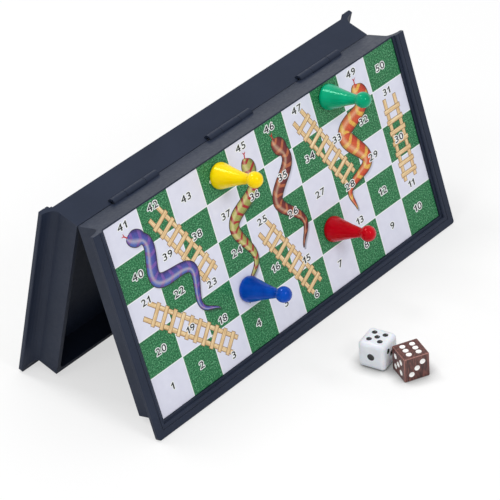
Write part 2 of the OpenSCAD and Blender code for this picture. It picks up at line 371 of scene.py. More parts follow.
def make_piece(name, surface, body, material, smooth_angle=None):
    """A mesh object of a surface with its normals outwards, riding on a body."""
    mesh = bpy.data.meshes.new(name)
    mesh.from_pydata(surface.points.tolist(), [], surface.faces)
    for key, numbers in surface.values.items():
        mesh.attributes.new(key, "FLOAT", "POINT").data.foreach_set("value", numbers.astype(np.float32))
    shape = bmesh.new()
    shape.from_mesh(mesh)
    bmesh.ops.recalc_face_normals(shape, faces=shape.faces)
    shape.to_mesh(mesh)
    shape.free()
    if smooth_angle:
        mesh.polygons.foreach_set("use_smooth", np.ones(len(mesh.polygons), bool))
        mesh.set_sharp_from_angle(angle=smooth_angle)
    mesh.materials.append(material)
    piece = new_object(name, mesh)
    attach(piece, body)
    return piece


def band(path, half_width, top, across=2):
    """A flat band of ink along a path of (right, up) points.

    A loop goes over the top from -1 to 1 and back underneath, and each of its points is the path's
    point plus its left normal times the half width times that share. The ends are closed.
    """
    path = np.asarray(path, float)
    normal = left_of(unit(np.gradient(path, axis=0)))
    share = np.concatenate([np.linspace(-1, 1, across), [1, -1]])
    height = np.concatenate([np.full(across, PRINT_TOP + top), np.full(2, PRINT_TOP + INK_ROOT)])
    flat = path[:, None] + normal[:, None] * (np.asarray(half_width)[:, None] * share)[..., None]
    points = np.concatenate([flat, np.broadcast_to(height[:, None], flat.shape[:2] + (1,))], -1)
    rows, columns = flat.shape[:2]
    ends = [list(range(columns)), list(range((rows - 1) * columns, rows * columns))]
    values = {"along": np.repeat(travelled_along(path), columns), "across": np.tile(share, rows)}
    return Surface(points.reshape(-1, 3), grid_faces(rows, columns) + ends, values)


# Nodes and links of materials
def put(tree, kind, inputs=None, **settings):
    """Adds a node, with each input set to a value or linked to another node's output."""
    made = tree.nodes.new(kind)
    for key, value in settings.items():
        setattr(made, key, value)
    for key, value in (inputs or {}).items():
        join_socket(tree, made.inputs[key], value)
    return made


def join_socket(tree, socket, value):
    """Links an output to a socket, or sets the socket to a value."""
    if isinstance(value, bpy.types.NodeSocket):
        tree.links.new(value, socket)
    else:
        socket.default_value = value


def maths(tree, operation, *values):
    """The result of a sum, product or other operation on values and outputs."""
    return put(tree, "ShaderNodeMath", dict(enumerate(values)), operation=operation).outputs[0]


def mix(tree, share, low, high):
    """A colour that goes from low to high as the share goes from 0 to 1."""
    return put(tree, "ShaderNodeMix", {0: share, 6: low, 7: high}, data_type="RGBA").outputs[2]


def noise(tree, place, scale, detail=2.0, roughness=0.5):
    """A cloudy value about a half, finer the larger its scale."""
    inputs = {"Vector": place, "Scale": scale, "Detail": detail, "Roughness": roughness}
    return put(tree, "ShaderNodeTexNoise", inputs).outputs["Fac"]


def reach(tree, value, span, to=(0.0, 1.0)):
    """A value spread from one range to another and held inside it."""
    inputs = dict(enumerate((value, *span, *to)))
    return put(tree, "ShaderNodeMapRange", inputs).outputs[0]


def ramp(tree, share, stops):
    """A colour ramp from a list of (position, colour)."""
    made = put(tree, "ShaderNodeValToRGB", {0: share})
    elements = made.color_ramp.elements
    while len(elements) < len(stops):
        elements.new(1.0)
    for element, (position, colour) in zip(elements, stops):
        element.position = position
        element.color = colour
    return made.outputs[0]


def bump(tree, height, strength, distance, normal=None):
    """The normal of a surface, or another one, tilted as a height would tilt it."""
    inputs = {"Height": height, "Strength": strength, "Distance": distance}
    if normal is not None:
        inputs["Normal"] = normal
    return put(tree, "ShaderNodeBump", inputs).outputs[0]


def attribute(tree, name):
    """A named value of the surface's points."""
    return put(tree, "ShaderNodeAttribute", attribute_name=name).outputs["Fac"]


def object_place(tree):
    """A point's place in its object's own coordinates."""
    return put(tree, "ShaderNodeTexCoord").outputs["Object"]


def rounded_normal(tree, radius):
    """The surface normal with edges softened to a radius."""
    return put(tree, "ShaderNodeBevel", {"Radius": radius}, samples=6).outputs[0]


def rgb(red, green, blue):
    """A screen colour of 0 to 255 as the linear colour that a socket takes."""
    screen = np.array([red, green, blue]) / 255
    linear = np.where(screen <= 0.04045, screen / 12.92, ((screen + 0.055) / 1.055) ** 2.4)
    return (*linear.tolist(), 1.0)


def grey(level):
    """A grey of a linear level."""
    return (level, level, level, 1.0)


def new_material(name, **sockets):
    """A material with a principled shader, and the shader's own tree to add to."""
    material = bpy.data.materials.new(name)
    material.use_nodes = True
    tree = material.node_tree
    shader = tree.nodes["Principled BSDF"]
    for key, value in sockets.items():
        shader.inputs[key.replace("_", " ")].default_value = value
    return material, tree, shader


def dress(tree, shader, **sockets):
    """Links outputs to the shader's sockets."""
    for key, value in sockets.items():
        tree.links.new(value, shader.inputs[key.replace("_", " ")])


# Materials
CASE_SHINE = 0.17
# The film over the print, which reflects less than polished plastic
PRINT_SHINE = 0.3
PRINT_ROUGHNESS = (0.34, 0.46)
# The shine of a pawn takes most of its colour, and this share of white
PAWN_SHINE = 0.55
PAWN_SHINE_WHITE = 0.15
# Nearly all values of a noise lie in this range
MID_NOISE = (0.3, 0.7)
# The share of a square that keeps the edges of a print inside its outer squares
SLIVER = 0.001
# How far a snake's rings shift at its sides, and its lit line's share of the half width off the middle
CHEVRON_BEND = 1.6 * MM
LIT_OFF_MIDDLE = 0.35


def case_plastic():
    """Satin moulded plastic: a fine spark grain, soft clouding and edges paler from slight wear and a painted
    highlight.
    """
    material, tree, shader = new_material("case_plastic", Specular_IOR_Level=CASE_SHINE)
    place = object_place(tree)
    cloud = noise(tree, place, scale=45, detail=3, roughness=0.6)
    grain = noise(tree, place, scale=2600, detail=2)
    colour = mix(tree, reach(tree, cloud, MID_NOISE), rgb(33, 41, 58), rgb(38, 46, 64))
    plain = put(tree, "ShaderNodeNewGeometry").outputs["Normal"]
    soft = rounded_normal(tree, 0.25 * MM)
    alike = put(tree, "ShaderNodeVectorMath", {0: plain, 1: soft}, operation="DOT_PRODUCT").outputs["Value"]
    # Paler near edges, where the softened normal parts from the plain one, varied by the cloud: partly wear and
    # partly a painted highlight
    edge_wear_and_highlight = maths(tree, "MULTIPLY", reach(tree, alike, (0.99, 0.85), (0.0, 0.5)), cloud)
    dress(
        tree,
        shader,
        Base_Color=mix(tree, edge_wear_and_highlight, colour, rgb(84, 90, 106)),
        Roughness=reach(tree, noise(tree, place, scale=700, detail=3), MID_NOISE, (0.38, 0.5)),
        Normal=bump(tree, grain, strength=0.09, distance=0.04 * MM, normal=soft),
    )
    return material


def printed_squares(name, in_shadow):
    """White and grass green squares with a pale line between them, under a satin film.

    The squares are the parity of the whole parts of column and row, and the outer ones run on to the
    edge. The grass is a noise coloured from dark blades to pale tips. In a printed shadow the colour
    darkens from the sides of a band to its middle.
    """
    material, tree, shader = new_material(name, Specular_IOR_Level=PRINT_SHINE)
    column = attribute(tree, "column")
    row = attribute(tree, "row")
    half_row = attribute(tree, "half_row")
    cells = maths(tree, "ROUND", maths(tree, "SUBTRACT", row, half_row))
    gaps = []
    for count, most, size in ((column, SQUARES_ALONG, SQUARE_W), (half_row, ROWS_PER_HALF, SQUARE_D)):
        whole = (SLIVER, most - SLIVER)
        inside = reach(tree, count, whole, whole)
        cells = maths(tree, "ADD", cells, maths(tree, "FLOOR", inside))
        middles = (0.5, most - 0.5)
        inner = reach(tree, count, middles, middles)
        off_middle = maths(tree, "ABSOLUTE", maths(tree, "SUBTRACT", maths(tree, "FRACT", inner), 0.5))
        gaps.append(maths(tree, "MULTIPLY", maths(tree, "SUBTRACT", 0.5, off_middle), size / MM))
    is_green = maths(tree, "MODULO", cells, 2.0)
    gap = maths(tree, "MINIMUM", *gaps)
    line_side = (0.3 * LINE_W / MM, 0.7 * LINE_W / MM)
    on_line = reach(tree, gap, line_side, (1.0, 0.0))
    place = put(tree, "ShaderNodeCombineXYZ", {
        0: maths(tree, "MULTIPLY", column, SQUARE_W / MM),
        1: maths(tree, "MULTIPLY", row, SQUARE_D / MM),
    }).outputs[0]
    blades = noise(tree, place, scale=1.5, detail=5, roughness=0.75)
    patches = noise(tree, place, scale=0.22, detail=2)
    grass = ramp(tree, blades, [
        (0.4, rgb(2, 62, 34)),
        (0.475, rgb(22, 104, 60)),
        (0.535, rgb(42, 128, 78)),
        (0.61, rgb(116, 182, 138)),
    ])
    grass = mix(tree, reach(tree, patches, (0.35, 0.7), (0.0, 0.3)), grass, rgb(20, 102, 56))
    paper = mix(tree, reach(tree, patches, MID_NOISE), rgb(219, 220, 236), rgb(225, 226, 241))
    colour = mix(tree, is_green, paper, grass)
    colour = mix(tree, on_line, colour, rgb(242, 245, 246))
    if in_shadow:
        off_path = maths(tree, "ABSOLUTE", attribute(tree, "across"))
        colour = mix(tree, reach(tree, off_path, (0.3, 1.0), (0.55, 0.0)), colour, rgb(26, 30, 40))
    film = object_place(tree)
    dress(
        tree,
        shader,
        Base_Color=colour,
        Roughness=reach(tree, noise(tree, film, scale=260, detail=3), MID_NOISE, PRINT_ROUGHNESS),
        Normal=bump(tree, noise(tree, film, scale=900, detail=2), strength=0.05, distance=0.03 * MM),
    )
    return material


def ink(name, low, high):
    """A printed ink whose colour clouds between two tones."""
    material, tree, shader = new_material(name, Specular_IOR_Level=PRINT_SHINE)
    place = object_place(tree)
    cloud = noise(tree, place, scale=800, detail=3)
    dress(
        tree,
        shader,
        Base_Color=mix(tree, reach(tree, cloud, (0.35, 0.65)), low, high),
        Roughness=reach(tree, noise(tree, place, scale=260, detail=3), MID_NOISE, PRINT_ROUGHNESS),
    )
    return material


def ladder_wood():
    """Pale wood: streaks drawn out along each bar and a darker side."""
    material, tree, shader = new_material("ladder_wood", Specular_IOR_Level=PRINT_SHINE)
    along = attribute(tree, "along")
    across = attribute(tree, "across")
    tone = attribute(tree, "tone")
    place = put(tree, "ShaderNodeCombineXYZ", {
        0: maths(tree, "MULTIPLY", along, STREAK_ALONG),
        1: maths(tree, "MULTIPLY", across, STREAK_ACROSS),
        2: maths(tree, "MULTIPLY", tone, STREAK_BY_TONE),
    }).outputs[0]
    streak = noise(tree, place, scale=2.2, detail=4, roughness=0.6)
    wood = ramp(tree, streak, [
        (0.34, rgb(206, 166, 114)),
        (0.5, rgb(232, 202, 152)),
        (0.66, rgb(248, 228, 188)),
    ])
    shade = reach(tree, across, (0.2, 1.0), (0.0, 0.5))
    colour = mix(tree, shade, wood, rgb(184, 138, 88))
    colour = mix(tree, maths(tree, "MULTIPLY", tone, TONE_SHARE), colour, rgb(216, 174, 122))
    dress(
        tree,
        shader,
        Base_Color=colour,
        Roughness=reach(tree, streak, MID_NOISE, (0.36, 0.48)),
    )
    return material


def snake_skin(name, back, flank, rings, ring_step):
    """A printed snake: chevron rings along a back that darkens to one flank, with fine scales."""
    material, tree, shader = new_material(name, Specular_IOR_Level=PRINT_SHINE)
    along = attribute(tree, "along")
    across = attribute(tree, "across")
    off_middle = maths(tree, "ABSOLUTE", across)
    bent = maths(tree, "ADD", along, maths(tree, "MULTIPLY", off_middle, CHEVRON_BEND))
    turn = maths(tree, "FRACT", maths(tree, "DIVIDE", bent, ring_step))
    off_ring = maths(tree, "ABSOLUTE", maths(tree, "SUBTRACT", turn, 0.5))
    on_ring = reach(tree, off_ring, (0.12, 0.2), (1.0, 0.0))
    scales = put(tree, "ShaderNodeTexVoronoi", {"Vector": object_place(tree), "Scale": 1500.0}).outputs[0]
    body = mix(tree, reach(tree, across, (-0.75, 0.85)), back, flank)
    body = mix(tree, on_ring, body, rings)
    body = mix(tree, reach(tree, scales, (0.1, 0.75), (0.0, 0.28)), body, rgb(40, 26, 22))
    off_lit_line = maths(tree, "ABSOLUTE", maths(tree, "ADD", across, LIT_OFF_MIDDLE))
    lit = reach(tree, off_lit_line, (0.0, 0.4), (0.32, 0.0))
    body = mix(tree, lit, body, rgb(255, 238, 200))
    dark = reach(tree, off_middle, (0.6, 1.0), (0.0, 0.5))
    body = mix(tree, dark, body, rgb(34, 22, 24))
    dress(
        tree,
        shader,
        Base_Color=body,
        Roughness=reach(tree, scales, (0.0, 0.8), PRINT_ROUGHNESS),
    )
    return material


def gloss_plastic(name, deep, bright):
    """Gloss moulded plastic with faint flow clouds, and a tinted shine, dulled in places by handling."""
    material, tree, shader = new_material(
        name,
        Subsurface_Weight=0.08,
        Subsurface_Scale=2 * MM,
        Specular_IOR_Level=PAWN_SHINE,
        Specular_Tint=tuple(PAWN_SHINE_WHITE + (1 - PAWN_SHINE_WHITE) * np.array(bright)),
    )
    place = object_place(tree)
    cloud = noise(tree, place, scale=160, detail=3, roughness=0.6)
    handled = noise(tree, place, scale=240, detail=3, roughness=0.6)
    dress(
        tree,
        shader,
        Base_Color=mix(tree, reach(tree, cloud, MID_NOISE), deep, bright),
        Roughness=reach(tree, handled, (0.35, 0.7), (0.12, 0.2)),
        Normal=bump(tree, cloud, strength=0.02, distance=0.04 * MM),
    )
    return material


def die_white():
    """Polished moulded white with a trace of clouding."""
    material, tree, shader = new_material("die_white", Subsurface_Weight=0.2, Subsurface_Scale=1.5 * MM)
    place = object_place(tree)
    cloud = noise(tree, place, scale=220, detail=3)
    dress(
        tree,
        shader,
        Base_Color=mix(tree, reach(tree, cloud, MID_NOISE), rgb(222, 226, 233), rgb(234, 237, 243)),
        Roughness=reach(tree, noise(tree, place, scale=900, detail=3), MID_NOISE, (0.26, 0.38)),
    )
    return material


def die_wood():
    """Dark stained wood: upright grain lines with pores, and edges paler from wear and a painted highlight.

    The place is taken in the die's own axes. A point lies on an edge where the second largest of its
    three distances from the middle nears half the die.
    """
    material, tree, shader = new_material("die_wood")
    back_turn = np.array(Matrix.Rotation(-BROWN_DIE.turn, 3, "Z"))
    own_place = put(tree, "ShaderNodeMapping", {
        "Vector": object_place(tree),
        "Location": tuple(-back_turn @ box_middle(BROWN_DIE.node)),
        "Rotation": (0.0, 0.0, -BROWN_DIE.turn),
    }).outputs[0]
    drawn_out = put(tree, "ShaderNodeMapping", {"Vector": own_place, "Scale": (1.0, 1.0, 0.14)}).outputs[0]
    grain = noise(tree, drawn_out, scale=1600, detail=5, roughness=0.65)
    pores = noise(tree, drawn_out, scale=2600, detail=3, roughness=0.6)
    wood = ramp(tree, grain, [
        (0.36, rgb(50, 28, 27)),
        (0.5, rgb(92, 52, 48)),
        (0.64, rgb(130, 80, 72)),
    ])
    wood = mix(tree, reach(tree, pores, (0.5, 0.7), (0.0, 0.6)), wood, rgb(38, 20, 20))
    own_xyz = put(tree, "ShaderNodeSeparateXYZ", {0: own_place}).outputs
    x, y, z = (maths(tree, "ABSOLUTE", distance) for distance in own_xyz)
    most = maths(tree, "MAXIMUM", maths(tree, "MAXIMUM", x, y), z)
    least = maths(tree, "MINIMUM", maths(tree, "MINIMUM", x, y), z)
    others = maths(tree, "SUBTRACT", maths(tree, "ADD", maths(tree, "ADD", x, y), z), most)
    second = maths(tree, "SUBTRACT", others, least)
    # Paler along the edges, varied by the grain: partly wear and partly a painted highlight
    edge = (0.462 * BROWN_DIE.size, 0.484 * BROWN_DIE.size)
    edge_rub_and_highlight = reach(tree, second, edge, (0.0, 0.9))
    wood = mix(tree, maths(tree, "MULTIPLY", edge_rub_and_highlight, grain), wood, rgb(204, 146, 134))
    dress(
        tree,
        shader,
        Base_Color=wood,
        Roughness=reach(tree, grain, MID_NOISE, (0.32, 0.46)),
        Normal=bump(tree, pores, strength=0.1, distance=0.05 * MM),
    )
    return material


def pip_paint(name, low, high):
    """Gloss paint in a pip, a little uneven."""
    material, tree, shader = new_material(name)
    place = object_place(tree)
    cloud = noise(tree, place, scale=900, detail=3)
    dress(
        tree,
        shader,
        Base_Color=mix(tree, reach(tree, cloud, MID_NOISE), low, high),
        Roughness=reach(tree, noise(tree, place, scale=1500, detail=2), MID_NOISE, (0.2, 0.34)),
    )
    return material


def bare_metal(name, low, high, stretch, roughest):
    """Metal with fine lines drawn out along the hinge."""
    material, tree, shader = new_material(name, Metallic=1.0)
    lines_place = put(tree, "ShaderNodeMapping", {
        "Vector": object_place(tree),
        "Scale": (stretch, 1.0, 1.0),
    }).outputs[0]
    lines = noise(tree, lines_place, scale=2400, detail=3, roughness=0.6)
    dress(
        tree,
        shader,
        Base_Color=mix(tree, reach(tree, lines, MID_NOISE), low, high),
        Roughness=reach(tree, lines, MID_NOISE, (0.2, roughest)),
        Normal=bump(tree, lines, strength=0.08, distance=0.03 * MM),
    )
    return material


# Prints
def print_slab(half):
    """A thin slab with a small chamfer round its face.

    Its points are three loops of four corners: round the back, below the chamfer and round the face.
    """
    def loop(inset, out):
        """Four corners at an inset from the print's edge, this far out."""
        ends = np.array([-1, 1, 1, -1]) * (PRINT_HALF - inset)
        near, far = PRINT_NEAR + inset, PRINT_FAR - inset
        away = np.array([near, near, far, far]) * np.sign(half.away @ half.up)
        return np.stack([ends, away, np.full(4, out)], -1)
    points = np.concatenate([
        loop(0, PRINT_BACK),
        loop(0, PRINT_TOP - PRINT_EDGE),
        loop(PRINT_EDGE, PRINT_TOP),
    ])
    faces = grid_faces(3, 4) + [[0, 1, 2, 3], [8, 9, 10, 11]]
    return Surface(on_half(half, points), faces, cell_values(half, points[:, 0], points[:, 1]))


def written_figure(digit):
    """A digit as a text curve."""
    curve = bpy.data.curves.new("digit", "FONT")
    curve.body = digit
    curve.offset = DIGIT_BOLD
    curve.resolution_u = DIGIT_CURVE_STEPS
    return curve


def drawn_figure(loops):
    """A digit of straight lines as a filled flat curve."""
    curve = bpy.data.curves.new("digit", "CURVE")
    curve.dimensions = "2D"
    curve.fill_mode = "BOTH"
    for loop in loops:
        spline = curve.splines.new("POLY")
        spline.points.add(len(loop) - 1)
        spline.use_cyclic_u = True
        corners = np.insert(np.array(loop, np.float32), [2, 2], (0, 1), axis=1)
        spline.points.foreach_set("co", corners.ravel())
    return curve


def curve_shape(curve):
    """The points and faces of a filled curve as a slab of unit depth."""
    curve.extrude = 0.5
    writing = new_object("digit", curve)
    evaluated = writing.evaluated_get(bpy.context.evaluated_depsgraph_get())
    mesh = bpy.data.meshes.new_from_object(evaluated)
    shape = bmesh.new()
    shape.from_mesh(mesh)
    bmesh.ops.remove_doubles(shape, verts=shape.verts, dist=MERGE_DISTANCE)
    shape.to_mesh(mesh)
    shape.free()
    points = np.empty(len(mesh.vertices) * 3, np.float32)
    mesh.vertices.foreach_get("co", points)
    faces = [list(face.vertices) for face in mesh.polygons]
    bpy.data.objects.remove(writing)
    bpy.data.curves.remove(curve)
    bpy.data.meshes.remove(mesh)
    return points.reshape(-1, 3).astype(float), faces


def slab(outline):
    """A flat outline, counter-clockwise, as a slab of unit depth about height nought."""
    count = len(outline)
    points = np.concatenate([np.insert(outline, 2, height, axis=1) for height in (-0.5, 0.5)])
    return points, [list(range(count))[::-1], list(range(count, 2 * count))] + grid_faces(2, count)


def side_distance(spots, start, along):
    """How far each spot lies from the nearest of some straight sides.

    The nearest point of a side lies at the share of it that the step from its start to the spot covers
    along it, held between 0 and 1.
    """
    step = spots[:, None] - start
    length_squared = np.maximum(np.sum(along**2, axis=1), LEAST_SIDE**2)
    share = np.clip(np.sum(step * along, axis=2) / length_squared, 0, 1)
    return np.linalg.norm(step - share[..., None] * along, axis=2).min(axis=1)


def level_sides(past):
    """Sides of the lines round a square grid's negative values, as a dictionary from start to end.

    Each square of the grid is two triangles. A triangle with values of both signs has one corner that
    differs from the other two, and a side from one of that corner's edges to the other. The start and end
    are such edges, each named by its two grid points.
    """
    spot = np.arange(HALO_GRID**2).reshape(HALO_GRID, HALO_GRID)
    a, b, c, d = spot[:-1, :-1], spot[1:, :-1], spot[1:, 1:], spot[:-1, 1:]
    triangles = np.concatenate([np.stack(corners, -1).reshape(-1, 3) for corners in ((a, b, c), (a, c, d))])
    inside = past[triangles] < 0
    count = inside.sum(axis=1)
    crossed = (count == 1) | (count == 2)
    triangles, inside, one_inside = triangles[crossed], inside[crossed], count[crossed] == 1
    lone = np.argmax(inside == one_inside[:, None], axis=1)
    order = (lone[:, None] + np.arange(3)) % 3
    p, q, r = np.take_along_axis(triangles, order, axis=1).T
    to_next = np.sort([p, q], axis=0)
    to_last = np.sort([p, r], axis=0)
    first = np.where(one_inside, to_next, to_last)
    second = np.where(one_inside, to_last, to_next)
    return dict(zip(map(tuple, first.T.tolist()), map(tuple, second.T.tolist())))


def halo_outline(points, faces):
    """The outline of all that lies within a halo's width of a digit, with the digit's holes filled.

    The distance to the digit's nearest side is taken on a grid. The outline is the longest chain of sides
    between the grid's nearer and farther points, and its points are found by proportion along the edges.
    """
    flat = points[:, :2]
    sides = np.array([side for face in faces for side in zip(face, face[1:] + face[:1])])
    start = flat[sides[:, 0]]
    along = flat[sides[:, 1]] - start
    margin = 2 * HALO_W
    spans = zip(flat.min(axis=0) - margin, flat.max(axis=0) + margin)
    x, y = (np.linspace(low, high, HALO_GRID) for low, high in spans)
    grid = np.stack(np.meshgrid(x, y, indexing="ij"), -1).reshape(-1, 2)
    past = side_distance(grid, start, along) - HALO_W
    follows = level_sides(past)
    chains = []
    while follows:
        chain = [next(iter(follows))]
        while chain[-1] in follows:
            chain.append(follows.pop(chain[-1]))
        chains.append(chain[:-1])
    one_end, other_end = np.array(max(chains, key=len)[::HALO_THIN]).T
    share = past[one_end] / (past[one_end] - past[other_end])
    return grid[one_end] + share[:, None] * (grid[other_end] - grid[one_end])


def figure_shapes():
    """Each digit and its halo as slabs of unit depth, scaled alike so that a nought has the set size."""
    shapes = {digit: curve_shape(written_figure(digit)) for digit in WRITTEN_FIGURES}
    nought = shapes["0"][0]
    width, height, _ = np.ptp(nought, axis=0)
    baseline = nought[:, 1].min()
    for digit, loops in DRAWN_FIGURES.items():
        points, faces = curve_shape(drawn_figure(loops))
        shapes[digit] = (points * (height, height, 1) + (0, baseline, 0), faces)
    plain, halos = {}, {}
    for digit, (points, faces) in shapes.items():
        points = (points - (points[:, 0].min(), baseline, 0)) * (DIGIT_W / width, DIGIT_H / height, 1)
        plain[digit] = (points, faces)
        halos[digit] = slab(halo_outline(points, faces))
    return plain, halos


def number_heights(climbs, snakes):
    """How high the number stands in the squares where a ladder or snake ends, so that it stays clear."""
    low = [foot for foot, _ in climbs] + [snake.tail for snake in snakes]
    high = [head for _, head in climbs] + [snake.head for snake in snakes]
    return {**dict.fromkeys(low, NUMBER_LOW), **dict.fromkeys(high, NUMBER_HIGH)}


def number_inks(half, heights, figures):
    """All numbers of a half and the halos under them, as two surfaces.

    Digits are set side by side and centred on their spot.
    """
    plain, halo = figures
    digits, halos = [], []
    first = half.first_row * SQUARES_ALONG + 1
    for number in range(first, first + ROWS_PER_HALF * SQUARES_ALONG):
        spot = square_place(number, NUMBER_U, heights.get(number, NUMBER_V))
        spans = [np.ptp(plain[digit][0][:, 0]) for digit in str(number)]
        start = spot[0] - (sum(spans) + (len(spans) - 1) * DIGIT_GAP) / 2
        for digit, span in zip(str(number), spans):
            for shapes, top, made in ((plain, DIGIT_TOP, digits), (halo, HALO_TOP, halos)):
                points, faces = shapes[digit]
                right = start + points[:, 0]
                up = spot[1] - DIGIT_H / 2 + points[:, 1]
                out = PRINT_TOP + np.where(points[:, 2] > 0, top, INK_ROOT)
                made.append(Surface(on_half(half, np.stack([right, up, out], -1)), faces, {}))
            start += span + DIGIT_GAP
    return join(digits), join(halos)


def ladder_inks(half, climbs):
    """All ladders of a half and the darker edges under them, as two surfaces.

    A ladder runs between the middles of two squares and a little past them: two rails, with rungs at even
    steps laid across them, each a straight band. The edge bands are the same, a little wider and longer.
    """
    bars, edges = [], []
    for foot, head in climbs:
        start, end = square_place(foot), square_place(head)
        length = np.linalg.norm(end - start) + 2 * LADDER_OVERHANG
        way = unit(end - start)
        side = left_of(way)
        start = start - way * LADDER_OVERHANG
        rungs = np.arange(FIRST_RUNG, length - LAST_RUNG_GAP, RUNG_STEP)
        to_rail = side * RAIL_STEP / 2
        to_tip = side * (RAIL_STEP / 2 + RAIL_W / 2 + RUNG_PAST)
        lines = [
            (start + way * at - to_tip, start + way * at + to_tip, RUNG_W, RUNG_TOP, RUNG_EDGE_TOP)
            for at in rungs
        ]
        lines += [
            (start + rail, start + rail + way * length, RAIL_W, RAIL_TOP, RAIL_EDGE_TOP)
            for rail in (-to_rail, to_rail)
        ]
        for low, high, width, top, edge_top in lines:
            grow = unit(high - low) * LADDER_EDGE_W
            bar = band([low, (low + high) / 2, high], np.full(3, width / 2), top)
            edge_half = np.full(3, width / 2 + LADDER_EDGE_W)
            edge = band([low - grow, (low + high) / 2, high + grow], edge_half, edge_top)
            tone = np.full(len(bar.points), rng.random())
            bars.append(Surface(on_half(half, bar.points), bar.faces, {**bar.values, "tone": tone}))
            edges.append(Surface(on_half(half, edge.points), edge.faces, {}))
    return join(bars), join(edges)


# A snake lies from its head's square to its tail's, swaying from side to side
Snake = namedtuple("Snake", "colour head tail half_width waves sway")


def snake_path(snake):
    """A straight line between two squares plus a sine to its side, which dies away at both ends."""
    start, end = square_place(snake.head), square_place(snake.tail)
    t = np.linspace(0, 1, SNAKE_STEPS)
    side = left_of(unit(end - start))
    hold = np.sin(np.pi * t) ** SWAY_HOLD
    sway = snake.sway * np.sin(2 * np.pi * snake.waves * t) * hold
    return start + t[:, None] * (end - start) + sway[:, None] * side


def snake_half_width(snake, travelled):
    """An oval head, then a neck that swells to the body and thins to the tail, by distance from the nose.

    The swell is a quarter of a sine that starts in the middle of the head, and head and tail are blunted by
    a power less than one.
    """
    whole = travelled[-1]
    head_middle = HEAD_LEN * snake.half_width / 2
    oval = np.clip(1 - ((travelled - head_middle) / head_middle) ** 2, 0, 1)
    head = HEAD_HALF * snake.half_width * oval ** HEAD_BLUNT
    swell = np.clip((travelled - head_middle) / (NECK_LEN * whole), 0, 1)
    neck = NECK_THIN + (1 - NECK_THIN) * np.sin(swell * np.pi / 2)
    thin = np.clip((whole - travelled) / (TAIL_LEN * whole), 0, 1) ** TAIL_BLUNT
    body = snake.half_width * neck * thin * (travelled > head_middle)
    return np.maximum(np.maximum(head, body), TAIL_TIP)


def snake_inks(half, snake):
    """The body, dark edge, forked tongue and printed shadow of one snake, as four surfaces."""
    path = snake_path(snake)
    wide = snake_half_width(snake, travelled_along(path))
    body = band(path, wide, SNAKE_TOP, SNAKE_ACROSS)
    edge = band(path, wide + SNAKE_EDGE_W, SNAKE_EDGE_TOP)
    nose = path[0]
    ahead = unit(nose - path[AIM_STEPS])
    side = left_of(ahead)
    fork = nose + ahead * TONGUE_LEN
    tongue = [band([nose - ahead * TONGUE_ROOT, nose, fork], np.full(3, TONGUE_HALF), TONGUE_TOP)]
    for hand in (-1, 1):
        tip = fork + ahead * FORK_LEN + side * hand * FORK_OUT
        tongue.append(band([fork, (fork + tip) / 2, tip], FORK_HALVES, TONGUE_TOP))
    shadow = band(path + SHADOW_SHIFT, wide + SHADOW_W, SHADOW_TOP)
    shadow.values.update(cell_values(half, shadow.points[:, 0], shadow.points[:, 1]))
    parts = (body, edge, join(tongue), shadow)
    return tuple(Surface(on_half(half, part.points), part.faces, part.values) for part in parts)


FRONT_LADDERS = ((3, 21), (23, 42), (6, 25), (28, 47), (11, 31))
BACK_LADDERS = ((58, 80), (63, 82), (56, 75), (67, 94), (70, 91), (77, 97))
FRONT_SNAKES = (
    Snake("blue", 41, 18, 3.0 * MM, 2.0, 7.0 * MM),
    Snake("banded", 45, 17, 3.0 * MM, 1.5, 7.5 * MM),
    Snake("maroon", 46, 15, 3.0 * MM, 1.5, 7.0 * MM),
    Snake("orange", 49, 13, 3.9 * MM, 2.0, 7.5 * MM),
)
BACK_SNAKES = (
    Snake("orange", 99, 61, 3.9 * MM, 2.0, 7.5 * MM),
    Snake("blue", 95, 64, 3.0 * MM, 1.5, 7.5 * MM),
    Snake("maroon", 88, 54, 3.0 * MM, 1.5, 7.0 * MM),
    Snake("banded", 92, 52, 3.0 * MM, 2.0, 7.0 * MM),
)
SKINS = {
    "blue": snake_skin("snake_blue", rgb(92, 120, 205), rgb(70, 60, 150), rgb(128, 92, 180), 5.2 * MM),
    "orange": snake_skin("snake_orange", rgb(236, 120, 60), rgb(214, 66, 44), rgb(246, 190, 84), 6.0 * MM),
    "maroon": snake_skin("snake_maroon", rgb(150, 60, 50), rgb(104, 34, 40), rgb(196, 110, 70), 4.6 * MM),
    "banded": snake_skin("snake_banded", rgb(206, 200, 110), rgb(150, 160, 80), rgb(176, 36, 40), 4.4 * MM),
}


